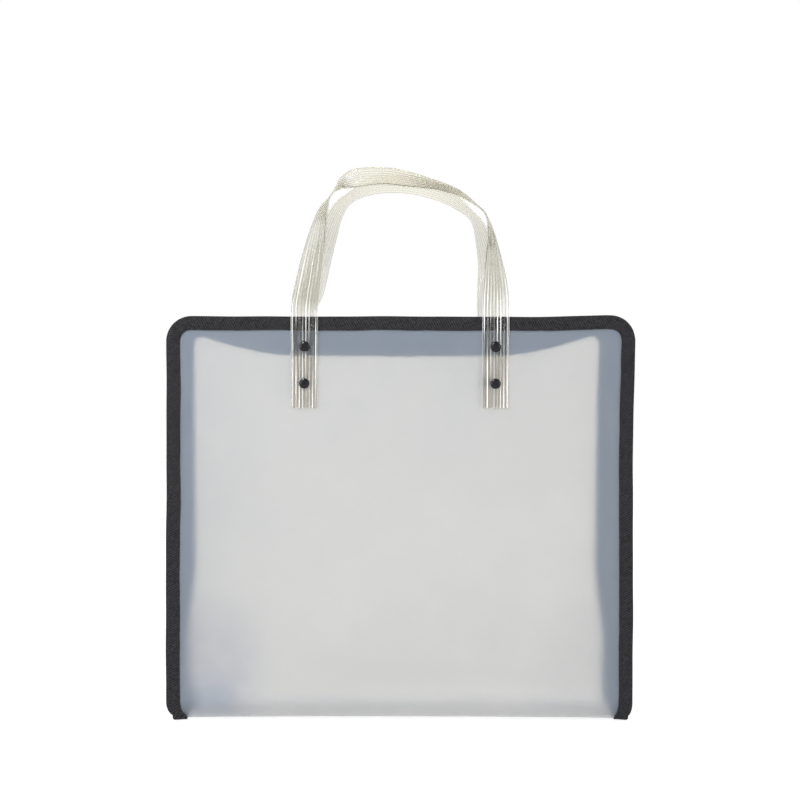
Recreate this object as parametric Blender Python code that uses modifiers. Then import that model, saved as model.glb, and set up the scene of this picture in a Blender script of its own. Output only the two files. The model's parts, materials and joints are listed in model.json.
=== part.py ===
"""A portfolio case: one frosted sheet folded into front, base and rear, edged with a woven
binding, closed on three sides by a folded-in cloth gusset with a zip, and carried by two
riveted strap handles.

Metres, +Z up, the front faces -Y, and the origin is on the surface the case stands on, under
the middle of the base. Each half is built flat in its own frame, whose origin is on the fold it
turns about: X along the fold, Z up along the panel, and -Y out of the case.
"""
import math

import bmesh
import bpy
from mathutils import Vector

# Driving dimensions
CASE_WIDTH = 0.450            # over the binding
CASE_HEIGHT = 0.388           # from the resting surface to the top of the binding
BASE_DEPTH = 0.060            # between the two folds
TOP_DEPTH = 0.018             # between the two panels at the top
CORNER_RADIUS = 0.024         # outer top corners
SHEET = 0.0010                # thickness of the frosted sheet
GAP = 0.0003                  # clearance between pieces that touch

BINDING = 0.0012              # thickness of the binding tape
BINDING_WIDTH = 0.0135        # how far the binding covers the sheet
BINDING_END = 0.0024          # from a fold to the binding's end

GUSSET = 0.0008               # thickness of the gusset cloth
GUSSET_START = 0.0040         # from the outer edge to where the gusset starts, under the binding
GUSSET_SIDE = 0.0270          # how far in the gusset reaches at the sides
GUSSET_FLARE = 0.0085         # how much less far it reaches near its lower ends
FLARE_TOP = 0.150             # height where the flare starts
FLARE_HEIGHT = 0.090          # height over which it grows
GUSSET_CORNER = 0.0180        # how far down the gusset reaches at the corners
GUSSET_SAG = 0.0185           # how much deeper it hangs between the handles
SAG_HALF_WIDTH = 0.093        # half the length of the straight low stretch
SAG_END = 0.188               # where the sag has run out, near the corners
ZIP_CORNER = 0.010            # radius of the zip's turn at a corner
GUSSET_FOOT = 0.0120          # height of the gusset's lower end above the fold
TAPE_SHARE = 0.72             # share of the way to the zip that is gusset cloth; the rest is tape
TAPE_GAP = 0.045              # share left open between cloth and tape

TEETH_WIDTH = 0.0024          # one row of zip teeth
TEETH_HEIGHT = 0.0016
TEETH_MIDDLE = 0.0007         # from the middle plane to a row of teeth
STOP_WIDTH = 0.0020           # a stop at the end of a row of teeth
STOP_HEIGHT = 0.0034
TEETH_END = 0.0040            # from the end of the tape to the first tooth

STRAP_WIDTH = 0.026
STRAP = 0.0016                # thickness of the strap
STRAP_FOOT = 0.2985           # lower end of the riveted strap, up the panel
STRAP_BEND = 0.3672           # where the strap lifts to pass over the binding
STRAP_LIFTED = 0.3724         # where it is clear of the binding
HANDLE_SPACING = 0.184        # between the two legs of a handle
REAR_HANDLE_SHIFT = -0.0035   # the rear handle sits a little to the left
FLEX_HEIGHT = 0.3902          # line up the panel where the handle swings
FLEX_GAP = 0.0014             # from that line to the strap on each side
HANDLE_SPREAD = 0.0085        # how far a handle bows outwards on its way up
HANDLE_RISE = 0.130           # height over which it does so

RIVET_HEIGHTS = (0.3219, 0.3574)
RIVET_POST = 0.0018           # radius
RIVET_HOLE = 0.0022           # radius
RIVET_REACH = 0.0014          # how far the post reaches into the back
RIVET_CAP = ((0, 0.0025), (0.0026, 0.0021), (0.0043, 0.0012), (0.0050, 0.0003), (0.0050, 0))
RIVET_BACK = ((0, 0.0022), (0.0026, 0.0018), (0.0040, 0.0010), (0.0045, 0.0003), (0.0045, 0))

SLIDER_LENGTH = 0.011
SLIDER_WIDTH = 0.0070
SLIDER_PLATE = 0.0010
SLIDER_SLOT = 0.0026          # height of the slot that the teeth run in
SLIDER_WEB = 0.0006           # wall between the two slots
SLIDER_REST = 0.0090          # from the middle of the zip to a closed slider
BRIDGE = (0.0050, 0.0016, 0.0026)      # length, width, height
BRIDGE_HOLE = (0.0024, 0.0020)         # length, height
BRIDGE_FLOOR = 0.0004                  # from the slider's top to the hole
PULL = (0.0226, 0.0056, 0.0012)        # length, width, thickness
PULL_WINDOW = (0.0032, 0.0034)         # length, width

TURN_STEPS = 14               # sides of a turned piece

# Values worked out from them
FOLD_Y = BASE_DEPTH / 2
FOLD_Z = BINDING + GAP + SHEET / 2
LEAN = math.atan2((BASE_DEPTH - TOP_DEPTH) / 2, CASE_HEIGHT)
PANEL_TOP = (CASE_HEIGHT - FOLD_Z) / math.cos(LEAN)
FLANGE = SHEET / 2 + GAP + BINDING / 2
STRAP_LOW = -(SHEET / 2 + GAP + STRAP / 2)
STRAP_HIGH = -(SHEET / 2 + 2 * GAP + BINDING + STRAP / 2)


def start_clean():
    for thing in list(bpy.data.objects):
        bpy.data.objects.remove(thing, do_unlink=True)
    for name in ("portfolio_case", "cutters"):
        group = bpy.data.collections.new(name)
        bpy.context.scene.collection.children.link(group)


def make_material(name, color, roughness, metallic=0.0):
    made = bpy.data.materials.new(name)
    made.use_nodes = True
    shader = made.node_tree.nodes["Principled BSDF"]
    shader.inputs["Base Color"].default_value = (*color, 1.0)
    shader.inputs["Roughness"].default_value = roughness
    shader.inputs["Metallic"].default_value = metallic
    return made


def add_object(name, data, parent=None, material=None, group="portfolio_case"):
    made = bpy.data.objects.new(name, data)
    bpy.data.collections[group].objects.link(made)
    made.parent = parent
    if material:
        made.data.materials.append(material)
    return made


def add_empty(name, location, rotation=(0, 0, 0)):
    made = add_object(name, None)
    made.location = location
    made.rotation_euler = rotation
    return made


def add_solidify(thing, thickness):
    shell = thing.modifiers.new("thickness", "SOLIDIFY")
    shell.thickness = thickness
    shell.offset = 0
    shell.use_even_offset = True


def add_mirror(thing):
    mirror = thing.modifiers.new("other_side", "MIRROR")
    mirror.use_clip = True
    mirror.merge_threshold = 0.00001


def add_cut(thing, cutter):
    cut = thing.modifiers.new("cut_" + cutter.name, "BOOLEAN")
    cut.operation = "DIFFERENCE"
    cut.object = cutter


def make_cutter(thing):
    thing.hide_render = True
    thing.display_type = "WIRE"
    return thing


def make_strip(name, along, across, place, thickness, material, parent, mirrored=False):
    """A sheet of along x across faces, whose corner (i, j) is at place(i, j), made solid."""
    grid = bmesh.new()
    bmesh.ops.create_grid(grid, x_segments=along, y_segments=across, size=0.5)
    for vertex in grid.verts:
        i = round((vertex.co.x + 0.5) * along)
        j = round((vertex.co.y + 0.5) * across)
        vertex.co = place(i, j)
    mesh = bpy.data.meshes.new(name)
    grid.to_mesh(mesh)
    grid.free()
    strip = add_object(name, mesh, parent, material)
    if mirrored:
        add_mirror(strip)
    add_solidify(strip, thickness)
    return strip


def make_box(name, low, high, material=None, parent=None, group="portfolio_case"):
    box = bmesh.new()
    bmesh.ops.create_cube(box, size=1.0)
    middle = (Vector(low) + Vector(high)) / 2
    size = Vector(high) - Vector(low)
    for vertex in box.verts:
        vertex.co = middle + Vector([a * b for a, b in zip(vertex.co, size)])
    mesh = bpy.data.meshes.new(name)
    box.to_mesh(mesh)
    box.free()
    return add_object(name, mesh, parent, material, group)


def make_cylinder_cutter(name, radius, depth, location, parent):
    """A round cutter along its parent's Y axis, with as many sides as a turned piece."""
    drum = bmesh.new()
    bmesh.ops.create_cone(drum, cap_ends=True, segments=TURN_STEPS, radius1=radius, radius2=radius,
                          depth=depth)
    mesh = bpy.data.meshes.new(name)
    drum.to_mesh(mesh)
    drum.free()
    cutter = make_cutter(add_object(name, mesh, parent, group="cutters"))
    cutter.location = location
    cutter.rotation_euler = (math.radians(90), 0, 0)
    return cutter


def make_turned(name, profile, material, parent, location, rotation):
    """A profile of (radius, height) points, turned about the object's Z axis."""
    line = bmesh.new()
    points = [line.verts.new((radius, 0, height)) for radius, height in profile]
    for first, second in zip(points, points[1:]):
        line.edges.new((first, second))
    mesh = bpy.data.meshes.new(name)
    line.to_mesh(mesh)
    line.free()
    turned = add_object(name, mesh, parent, material)
    turned.location = location
    turned.rotation_euler = rotation
    screw = turned.modifiers.new("turn", "SCREW")
    screw.steps = TURN_STEPS
    screw.render_steps = TURN_STEPS
    screw.use_merge_vertices = True
    screw.merge_threshold = 0.00001
    screw.use_smooth_shade = True
    return turned


def smooth_step(value):
    value = min(1.0, max(0.0, value))
    return value * value * (3 - 2 * value)


def sag_at(x):
    """How much deeper the gusset hangs at x: whole between the handles, run out at the corners."""
    left = (SAG_END - abs(x)) / (SAG_END - SAG_HALF_WIDTH)
    return GUSSET_SAG * math.sin(math.radians(90) * min(1.0, max(0.0, left)))


def half_outline(top, corner, side):
    """Stations along the right half of the edge: the top from its middle, the corner, the side."""
    stations = [("top", i / top) for i in range(top)]
    stations += [("corner", i / corner) for i in range(corner)]
    stations += [("side", i / side) for i in range(side + 1)]
    return stations


def edge_point(station, side_inset, top_inset, radius, foot):
    """The (x, z) of a station on an outline set in from the outer edge of the case."""
    kind, share = station
    centre_x = CASE_WIDTH / 2 - side_inset - radius
    centre_z = PANEL_TOP - top_inset - radius
    if kind == "top":
        return centre_x * share, centre_z + radius
    if kind == "corner":
        angle = math.radians(90) * (1 - share)
        return centre_x + radius * math.cos(angle), centre_z + radius * math.sin(angle)
    return centre_x + radius, centre_z + (foot - centre_z) * share


def to_middle(z):
    """Distance from a panel to the middle plane of the case, at z up the panel."""
    return (FOLD_Y - z * math.sin(LEAN)) / math.cos(LEAN)


def gusset_point(station, share):
    """A point of the gusset, share of the way from the binding to the zip."""
    inwards = math.sin(math.radians(90) * share)
    side = GUSSET_START + (GUSSET_SIDE - GUSSET_START) * inwards
    top = GUSSET_START + (GUSSET_CORNER - GUSSET_START) * inwards
    radius = (CORNER_RADIUS - GUSSET_START) * (1 - share) + ZIP_CORNER * share
    x, z = edge_point(station, side, top, radius, GUSSET_FOOT)
    if station[0] == "top":
        z -= sag_at(x) * inwards
    else:
        x += GUSSET_FLARE * smooth_step((FLARE_TOP - z) / FLARE_HEIGHT) * inwards
    start = FLANGE + BINDING / 2 + GAP + GUSSET / 2
    end = to_middle(z) - TEETH_MIDDLE - TEETH_WIDTH - GAP
    y = start + (end - start) * (1 - math.cos(math.radians(90) * share))
    return Vector((x, y, z))


def binding_section(j):
    """The four corners of the folded binding: (inset, offset) from the sheet's middle."""
    inset = BINDING / 2 if j in (1, 2) else BINDING_WIDTH
    return inset, -FLANGE if j < 2 else FLANGE


def make_panel(name, material, parent):
    """A flat sheet with two rounded top corners, standing in its half's frame."""
    edge = BINDING + GAP
    half_width = CASE_WIDTH / 2 - edge
    right = [edge_point(station, edge, edge, CORNER_RADIUS - edge, GAP + SHEET / 2)
             for station in half_outline(1, 6, 1)][1:]
    outline = right + [(-x, z) for x, z in reversed(right)]
    curve = bpy.data.curves.new(name, "CURVE")
    curve.dimensions = "2D"
    curve.fill_mode = "BOTH"
    curve.extrude = SHEET / 2
    spline = curve.splines.new("POLY")
    spline.points.add(len(outline) - 1)
    spline.use_cyclic_u = True
    for point, (x, z) in zip(spline.points, outline):
        point.co = (max(-half_width, min(half_width, x)), z, 0, 1)
    drawn = add_object(name + "_outline", curve)
    mesh = bpy.data.meshes.new_from_object(drawn.evaluated_get(bpy.context.evaluated_depsgraph_get()))
    bpy.data.objects.remove(drawn, do_unlink=True)
    welded = bmesh.new()
    welded.from_mesh(mesh)
    bmesh.ops.remove_doubles(welded, verts=welded.verts, dist=0.00001)
    welded.to_mesh(mesh)
    welded.free()
    mesh.name = name
    panel = add_object(name, mesh, parent, material)
    panel.rotation_euler = (math.radians(90), 0, 0)
    return panel


def make_strap_end(name, x, material, parent):
    """The riveted lower end of a strap, stepped up to pass over the binding."""
    heights = (STRAP_FOOT, STRAP_BEND, STRAP_LIFTED, FLEX_HEIGHT - FLEX_GAP)
    offsets = (STRAP_LOW, STRAP_LOW, STRAP_HIGH, STRAP_HIGH)

    def place(i, j):
        return Vector((x + (j - 0.5) * STRAP_WIDTH, offsets[i], heights[i]))

    return make_strip(name, 3, 1, place, STRAP, material, parent)


def make_rivet(half, side, level, x, z, material, parent, cut_pieces):
    """A two-piece rivet: a capped post from outside and a back from inside."""
    place = "%s_%s" % (side, level)
    cutter = make_cylinder_cutter("%s_hole_%s" % (half, place), RIVET_HOLE, 20 * SHEET, (x, 0, z), parent)
    for piece in cut_pieces:
        add_cut(piece, cutter)
    seat = SHEET / 2 + 2 * GAP + STRAP
    post = -(seat + SHEET / 2 + RIVET_REACH)
    cap_profile = RIVET_CAP + ((RIVET_POST, 0), (RIVET_POST, post), (0, post))
    out = (math.radians(90), 0, 0)
    make_turned("%s_rivet_cap_%s" % (half, place), cap_profile, material, parent, (x, -seat, z), out)
    back_profile = RIVET_BACK + ((RIVET_HOLE, 0), (RIVET_HOLE, RIVET_REACH), (0, RIVET_REACH))
    inwards = (math.radians(-90), 0, 0)
    seat_back = SHEET / 2 + GAP
    make_turned("%s_rivet_back_%s" % (half, place), back_profile, material, parent,
                (x, seat_back, z), inwards)


def make_half(half, parent, strap_shift, materials):
    """Everything that turns about one fold, apart from the handle."""
    panel = make_panel(half + "_panel", materials["sheet"], parent)

    edge = half_outline(1, 6, 1)

    def place_binding(i, j):
        inset, offset = binding_section(j)
        x, z = edge_point(edge[i], inset, inset, CORNER_RADIUS - inset, BINDING_END)
        return Vector((x, offset, z))

    make_strip(half + "_binding", len(edge) - 1, 3, place_binding, BINDING,
               materials["binding"], parent, mirrored=True)

    line = half_outline(12, 4, 9)

    def place_gusset(i, j):
        return gusset_point(line[i], TAPE_SHARE * j / 4)

    make_strip(half + "_gusset", len(line) - 1, 4, place_gusset, GUSSET,
               materials["cloth"], parent, mirrored=True)

    def place_tape(i, j):
        return gusset_point(line[i], TAPE_SHARE + TAPE_GAP + (1 - TAPE_SHARE - TAPE_GAP) * j)

    make_strip(half + "_zip_tape", len(line) - 1, 1, place_tape, GUSSET,
               materials["cloth"], parent, mirrored=True)

    def place_teeth(i, j):
        point = gusset_point(line[i], 1)
        point.y += GAP + TEETH_WIDTH * j
        if i == len(line) - 1:
            point.z += TEETH_END
        return point

    make_strip(half + "_zip_teeth", len(line) - 1, 1, place_teeth, TEETH_HEIGHT,
               materials["zip"], parent, mirrored=True)

    foot = gusset_point(line[-1], 1)
    turned = -1 if half == "rear" else 1
    for side, sign in (("left", -1), ("right", 1)):
        x = sign * turned * foot.x
        low = (x - STOP_WIDTH / 2, foot.y + GAP, foot.z)
        high = (x + STOP_WIDTH / 2, foot.y + GAP + TEETH_WIDTH, foot.z + STOP_HEIGHT)
        make_box("%s_zip_stop_%s" % (half, side), low, high, materials["zip"], parent)
        strap_x = turned * (sign * HANDLE_SPACING / 2 + strap_shift)
        strap = make_strap_end("%s_strap_%s" % (half, side), strap_x, materials["strap"], parent)
        for level, height in zip(("lower", "upper"), RIVET_HEIGHTS):
            make_rivet(half, side, level, strap_x, height, materials["rivet"], parent, (panel, strap))


def smooth_route(points, steps):
    """Points on a smooth curve (Catmull-Rom) through the route's points, steps to each stretch.
    It leaves its first point and meets its last one straight up or down."""
    before = Vector((points[1].x, 2 * points[0].y - points[1].y, points[1].z))
    after = Vector((points[-2].x, 2 * points[-1].y - points[-2].y, points[-2].z))
    ends = [before] + points + [after]
    route = []
    for a, b, c, d in zip(ends, ends[1:], ends[2:], ends[3:]):
        for step in range(steps):
            t = step / steps
            route.append(0.5 * (2 * b + (c - a) * t + (2 * a - 5 * b + 4 * c - d) * t * t
                                + (3 * b - a - 3 * c + d) * t * t * t))
    route.append(points[-1].copy())
    return route


def make_handle(name, route, outwards, material, parent):
    """A flat strap bent to an arch. The route's points are (x, height, twist in degrees), where no
    twist faces the front and a quarter turn is edge on."""
    line = smooth_route([Vector(point) for point in route], 3)

    def place(i, j):
        point = line[i]
        if i == 0:
            ahead = Vector((0, 1, 0))
        elif i == len(line) - 1:
            ahead = Vector((0, -1, 0))
        else:
            ahead = line[i + 1] - line[i - 1]
        run = math.hypot(ahead.x, ahead.y)
        twist = math.radians(point.z)
        height = point.y
        middle = Vector((point.x, outwards * HANDLE_SPREAD * smooth_step(height / HANDLE_RISE), height))
        inner = Vector((ahead.y / run, 0, -ahead.x / run)) * math.cos(twist)
        inner.y = outwards * math.sin(twist)
        return middle + inner * STRAP_WIDTH * (j / 2 - 0.5)

    return make_strip(name, len(line) - 1, 2, place, STRAP, material, parent)


def make_base(materials):
    edge = BINDING + GAP
    half_width = CASE_WIDTH / 2 - edge
    half_depth = FOLD_Y - SHEET / 2 - GAP
    make_box("base_panel", (-half_width, -half_depth, FOLD_Z - SHEET / 2),
             (half_width, half_depth, FOLD_Z + SHEET / 2), materials["sheet"])
    end = FOLD_Y - BINDING_END
    for side, sign in (("left", -1), ("right", 1)):
        def place(i, j):
            inset, offset = binding_section(j)
            return Vector((sign * (CASE_WIDTH / 2 - inset), end * (2 * i - 1), FOLD_Z + offset))

        make_strip("base_binding_" + side, 1, 3, place, BINDING, materials["binding"], None)


def make_slider(side, sign, zip_height, materials):
    """A slider that holds both rows of teeth in open slots, and its pull tab on a bridge."""
    middle = sign * SLIDER_REST
    half_height = SLIDER_SLOT / 2 + SLIDER_PLATE
    body = make_box("zip_slider_" + side,
                    (middle - SLIDER_LENGTH / 2, -SLIDER_WIDTH / 2, zip_height - half_height),
                    (middle + SLIDER_LENGTH / 2, SLIDER_WIDTH / 2, zip_height + half_height),
                    materials["slider"])
    for end, way in (("front", -1), ("rear", 1)):
        near = way * SLIDER_WEB / 2
        far = way * SLIDER_WIDTH
        slot = make_box("slot_%s_%s" % (side, end),
                        (middle - SLIDER_LENGTH, min(near, far), zip_height - SLIDER_SLOT / 2),
                        (middle + SLIDER_LENGTH, max(near, far), zip_height + SLIDER_SLOT / 2),
                        group="cutters")
        add_cut(body, make_cutter(slot))
    top = zip_height + half_height
    bridge = make_box("bridge_" + side,
                      (middle - BRIDGE[0] / 2, -BRIDGE[1] / 2, top - SLIDER_PLATE / 2),
                      (middle + BRIDGE[0] / 2, BRIDGE[1] / 2, top + BRIDGE[2]), group="cutters")
    make_cutter(bridge)
    join = body.modifiers.new("bridge", "BOOLEAN")
    join.operation = "UNION"
    join.object = bridge
    pivot_z = top + BRIDGE_FLOOR + BRIDGE_HOLE[1] / 2
    hole = make_box("bridge_hole_" + side,
                    (middle - BRIDGE_HOLE[0] / 2, -BRIDGE[1], pivot_z - BRIDGE_HOLE[1] / 2),
                    (middle + BRIDGE_HOLE[0] / 2, BRIDGE[1], pivot_z + BRIDGE_HOLE[1] / 2),
                    group="cutters")
    add_cut(body, make_cutter(hole))

    pivot = add_empty("pull_pivot_" + side, (middle, 0, pivot_z))
    thick = PULL[2] / 2
    ends = sorted((-sign * thick, sign * (PULL[0] - thick)))
    pull = make_box("zip_pull_" + side, (ends[0], -PULL[1] / 2, -thick), (ends[1], PULL[1] / 2, thick),
                    materials["slider"], pivot)
    opening = sorted((sign * thick, sign * (thick + PULL_WINDOW[0])))
    window = make_box("pull_window_" + side, (opening[0], -PULL_WINDOW[1] / 2, -PULL[2]),
                      (opening[1], PULL_WINDOW[1] / 2, PULL[2]), parent=pivot, group="cutters")
    add_cut(pull, make_cutter(window))


# Routes of the two handles, from the left leg to the right: (x, height above the swing line,
# twist). The straps are curled differently, as soft plastic is.
FRONT_ROUTE = (
    (-0.0920, FLEX_GAP, 0), (-0.0885, 0.027, 16), (-0.0814, 0.064, 40), (-0.0740, 0.095, 64),
    (-0.0640, 0.113, 83), (-0.0460, 0.126, 43), (-0.0160, 0.129, 44), (0.0070, 0.126, 49),
    (0.0290, 0.1215, 60), (0.0480, 0.116, 67), (0.0610, 0.110, 74), (0.0800, 0.095, 84),
    (0.0862, 0.078, 73), (0.0890, 0.055, 52), (0.0912, 0.029, 26), (0.0920, FLEX_GAP, 0))
REAR_ROUTE = (
    (-0.0955, FLEX_GAP, 0), (-0.0870, 0.024, 15), (-0.0800, 0.050, 30), (-0.0730, 0.072, 45),
    (-0.0627, 0.099, 62), (-0.0480, 0.115, 80), (-0.0230, 0.1265, 64), (0.0070, 0.1275, 58),
    (0.0300, 0.1225, 60), (0.0490, 0.1145, 66), (0.0670, 0.099, 84), (0.0760, 0.088, 73),
    (0.0840, 0.066, 50), (0.0882, 0.046, 32), (0.0885, 0.022, 14), (0.0885, FLEX_GAP, 0))


def swing_line(sign):
    """World (y, z) of the line a handle swings about; sign is -1 for the front."""
    inwards = FLEX_HEIGHT * math.sin(LEAN) + STRAP_HIGH * math.cos(LEAN)
    height = FOLD_Z + FLEX_HEIGHT * math.cos(LEAN) - STRAP_HIGH * math.sin(LEAN)
    return sign * (FOLD_Y - inwards), height


def main():
    start_clean()
    materials = {
        "sheet": make_material("frosted_sheet", (0.66, 0.67, 0.67), 0.55),
        "binding": make_material("woven_binding", (0.035, 0.035, 0.038), 0.85),
        "cloth": make_material("gusset_cloth", (0.05, 0.052, 0.06), 0.9),
        "zip": make_material("zip_teeth", (0.03, 0.03, 0.034), 0.4),
        "slider": make_material("zip_slider", (0.04, 0.04, 0.043), 0.35, 0.7),
        "strap": make_material("clear_strap", (0.80, 0.78, 0.68), 0.2),
        "rivet": make_material("rivet_black", (0.012, 0.012, 0.013), 0.2),
    }
    make_base(materials)
    front = add_empty("front_fold", (0, -FOLD_Y, FOLD_Z), (-LEAN, 0, 0))
    rear = add_empty("rear_fold", (0, FOLD_Y, FOLD_Z), (-LEAN, 0, math.pi))
    make_half("front", front, 0, materials)
    make_half("rear", rear, REAR_HANDLE_SHIFT, materials)

    for name, sign, route in (("front_handle", -1, FRONT_ROUTE), ("rear_handle", 1, REAR_ROUTE)):
        y, z = swing_line(sign)
        pivot = add_empty(name + "_swing", (0, y, z))
        make_handle(name, route, sign, materials["strap"], pivot)

    zip_top = gusset_point(("top", 0), 1)
    zip_height = FOLD_Z - zip_top.y * math.sin(LEAN) + zip_top.z * math.cos(LEAN)
    for side, sign in (("left", -1), ("right", 1)):
        make_slider(side, sign, zip_height, materials)


main()
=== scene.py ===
import json
import math

import bmesh
import bpy
import numpy as np
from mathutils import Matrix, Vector


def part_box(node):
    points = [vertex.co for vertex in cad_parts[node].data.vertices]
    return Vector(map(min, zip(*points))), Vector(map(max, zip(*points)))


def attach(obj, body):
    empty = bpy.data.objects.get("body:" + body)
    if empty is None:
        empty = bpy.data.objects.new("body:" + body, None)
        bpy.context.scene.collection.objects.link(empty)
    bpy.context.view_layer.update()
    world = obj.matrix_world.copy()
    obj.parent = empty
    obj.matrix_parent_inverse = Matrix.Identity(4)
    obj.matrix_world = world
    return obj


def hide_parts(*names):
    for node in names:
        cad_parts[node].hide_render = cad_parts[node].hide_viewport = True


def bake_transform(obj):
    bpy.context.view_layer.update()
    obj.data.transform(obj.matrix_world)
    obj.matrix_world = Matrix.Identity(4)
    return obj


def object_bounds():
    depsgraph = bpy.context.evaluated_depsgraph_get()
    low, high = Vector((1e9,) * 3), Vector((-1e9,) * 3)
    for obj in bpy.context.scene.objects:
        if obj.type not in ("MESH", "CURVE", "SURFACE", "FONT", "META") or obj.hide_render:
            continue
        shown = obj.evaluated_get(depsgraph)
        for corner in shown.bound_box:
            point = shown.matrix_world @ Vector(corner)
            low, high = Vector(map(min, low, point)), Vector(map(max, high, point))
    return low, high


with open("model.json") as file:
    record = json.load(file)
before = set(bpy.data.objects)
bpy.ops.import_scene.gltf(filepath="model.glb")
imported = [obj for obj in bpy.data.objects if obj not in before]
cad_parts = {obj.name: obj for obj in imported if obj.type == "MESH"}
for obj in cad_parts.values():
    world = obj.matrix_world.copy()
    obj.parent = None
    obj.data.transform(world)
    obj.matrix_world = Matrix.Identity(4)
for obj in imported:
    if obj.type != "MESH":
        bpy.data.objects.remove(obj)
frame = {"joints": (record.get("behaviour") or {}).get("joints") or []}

cad_low, cad_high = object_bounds()

HALVES = ("front", "rear")
SIDES = (("left", -1), ("right", 1))
JOINTS = {joint["name"]: joint for joint in frame["joints"]}

# Sizes that the frame gives
FOLD_Y = JOINTS["rear_fold"]["pos_m"][1]
FOLD_Z = JOINTS["rear_fold"]["pos_m"][2]
base_low, base_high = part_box("base_panel")
tape_low, tape_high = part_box("base_binding_right")
panel_low, panel_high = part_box("front_panel")
strap_low, strap_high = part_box("front_strap_left")
SHEET = base_high.z - base_low.z
HALF_WIDTH = tape_high.x
BINDING_WIDTH = tape_high.x - tape_low.x
FLANGE = (tape_high.z - tape_low.z) / 2
LEAN = math.atan2(panel_high.y - panel_low.y - SHEET, panel_high.z - panel_low.z)
SIN, COS = math.sin(LEAN), math.cos(LEAN)
CASE_TOP = (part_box("front_binding")[1].z - FOLD_Z) / COS
STRAP_WIDTH = strap_high.x - strap_low.x
STRAP_FOOT = (strap_low.z - FOLD_Z) / COS
SWING_Y, SWING_Z = JOINTS["rear_handle_swing"]["pos_m"][1:]

# Sizes that part.py sets, and the frame doesn't give
CORNER_RADIUS = 0.024
GAP = 0.0003
STRAP = 0.0016
BINDING = 0.0012              # thickness of the binding on the sheet, under a strap
STRAP_BEND = 0.3672
STRAP_LIFTED = 0.3724
GUSSET_START = 0.0040
GUSSET_SIDE = 0.0270
GUSSET_FLARE = 0.0085
FLARE_TOP = 0.150
FLARE_HEIGHT = 0.090
GUSSET_CORNER = 0.0180
GUSSET_SAG = 0.0185
SAG_HALF_WIDTH = 0.093
SAG_END = 0.188
ZIP_CORNER = 0.010
GUSSET_FOOT = 0.0120          # where the zip ends
TEETH_WIDTH = 0.0024
TEETH_MIDDLE = 0.0007
HANDLE_SPREAD = 0.0085
HANDLE_RISE = 0.130

# Looks
SHEET_EDGE = 0.0015           # from the case's edge to the sheet's, inside the binding
FOLD_RADIUS = 0.0024          # of the sheet's two bends
BASE_BOW = 0.0013             # how far the base bows up between its bound ends
FOLD_PULL = 0.0078            # how strongly the case's ends draw in at a fold
FOLD_DRAW = 0.95              # share of a full quarter round that they draw in by
FOLD_PULL_SKEW = 0.0017       # how much further the left one does
FOLD_PULL_HEIGHT = 0.0125     # height over which they do
BUNCH = {1: 0.0004, -1: 0.0012}    # how much the binding bunches up as it rounds a fold
BUNCH_LENGTH = 0.006          # along the binding
CORNER_PUSH = 0.0022          # how far the case's top right corner stands out
CORNER_REACH = 0.065          # how far from the corner that is felt
CORNER_RISE = 0.9             # its rise, as a share of that
ZIP_SKEW = -0.0042            # the soft gusset hangs a little to the left
WALL = 0.00075                # thickness of the binding's tape
STITCH_PITCH = 0.0033
STITCH_INSET = 0.0021         # from the tape's inner lip
ARCH_SECTION = ((0.0004, 0.0006), (0.0004, -0.0006), (0, -0.0008), (-0.0004, -0.0006),
                (-0.0004, 0.0006), (0, 0.0008))    # of the wire on a slider: (out, across)
EYE_LENGTH = 0.0024           # half the length of the eye that a pull hangs by
EYE_WIRE = 0.0005             # the wire's radius
TAB_START = 0.0042            # where a pull's tab starts, from its pivot
RIB_COUNT = 8                 # ribs along a strap
RIB_STEPS = 8
STRAP_LENGTH = 0.548          # foot to foot, along its middle
STRAP_CORE = 0.00030          # from the strap's middle to the grooves between its ribs
STRAP_INNER = 0.00062         # and to its flat inner face
STRAP_ROUND = 0.0003          # width of its rounded edges
RIB_HEIGHT = 0.00045
TOOTH_PITCH = 0.0015
TOOTH_PROFILE = ((-0.00135, 0.45), (-0.0012, 0.85), (0.0006, 0.95), (0.00145, 1.0), (0.0018, 0.8),
                 (0.00195, 0.35))    # along a tooth: (place, share of its full size)
CLOTH_FOOT = 0.0032           # where the gusset's cloth ends, just above the base
FOOT_TAPER = 0.0060           # how far it draws back to the binding below the zip
CLOTH = 0.0006                # thickness of the gusset's cloth
CLOTH_END = 0.84              # share of the way to the zip where the cloth ends, under the tape
TAPE = 0.0005                 # thickness of the zip's tape
TAPE_START = 0.70
TAPE_SINK = 0.0010            # how far the tape lies inside the cloth
TAPE_LIP = 0.0033             # how far the tape reaches under the teeth
LIP_SHARES = (1.05, 1.1)      # past the zip, where a share stands for a part of the lip
LIP_SPAN = 0.1


def smooth_step(value):
    value = np.clip(value, 0.0, 1.0)
    return value * value * (3 - 2 * value)


def ripple(a, b=0.0, seed=0.0):
    """A smooth uneven wave, from about -1 to 1, the same each run."""
    return (np.sin(a * 1.00 + b * 0.63 + seed) * 0.5
            + np.sin(a * 2.31 - b * 1.71 + 1.3 + seed * 2.1) * 0.3
            + np.sin(a * 4.17 + b * 3.09 + 2.9 + seed * 0.7) * 0.2)


# Meshes

def finish_mesh(name, bm, material, angle=40, smooth=True):
    bmesh.ops.recalc_face_normals(bm, faces=bm.faces)
    mesh = bpy.data.meshes.new(name)
    bm.to_mesh(mesh)
    bm.free()
    if smooth:
        mesh.shade_smooth()
        mesh.set_sharp_from_angle(angle=math.radians(angle))
    mesh.materials.append(material)
    made = bpy.data.objects.new(name, mesh)
    bpy.context.scene.collection.objects.link(made)
    return made


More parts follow.
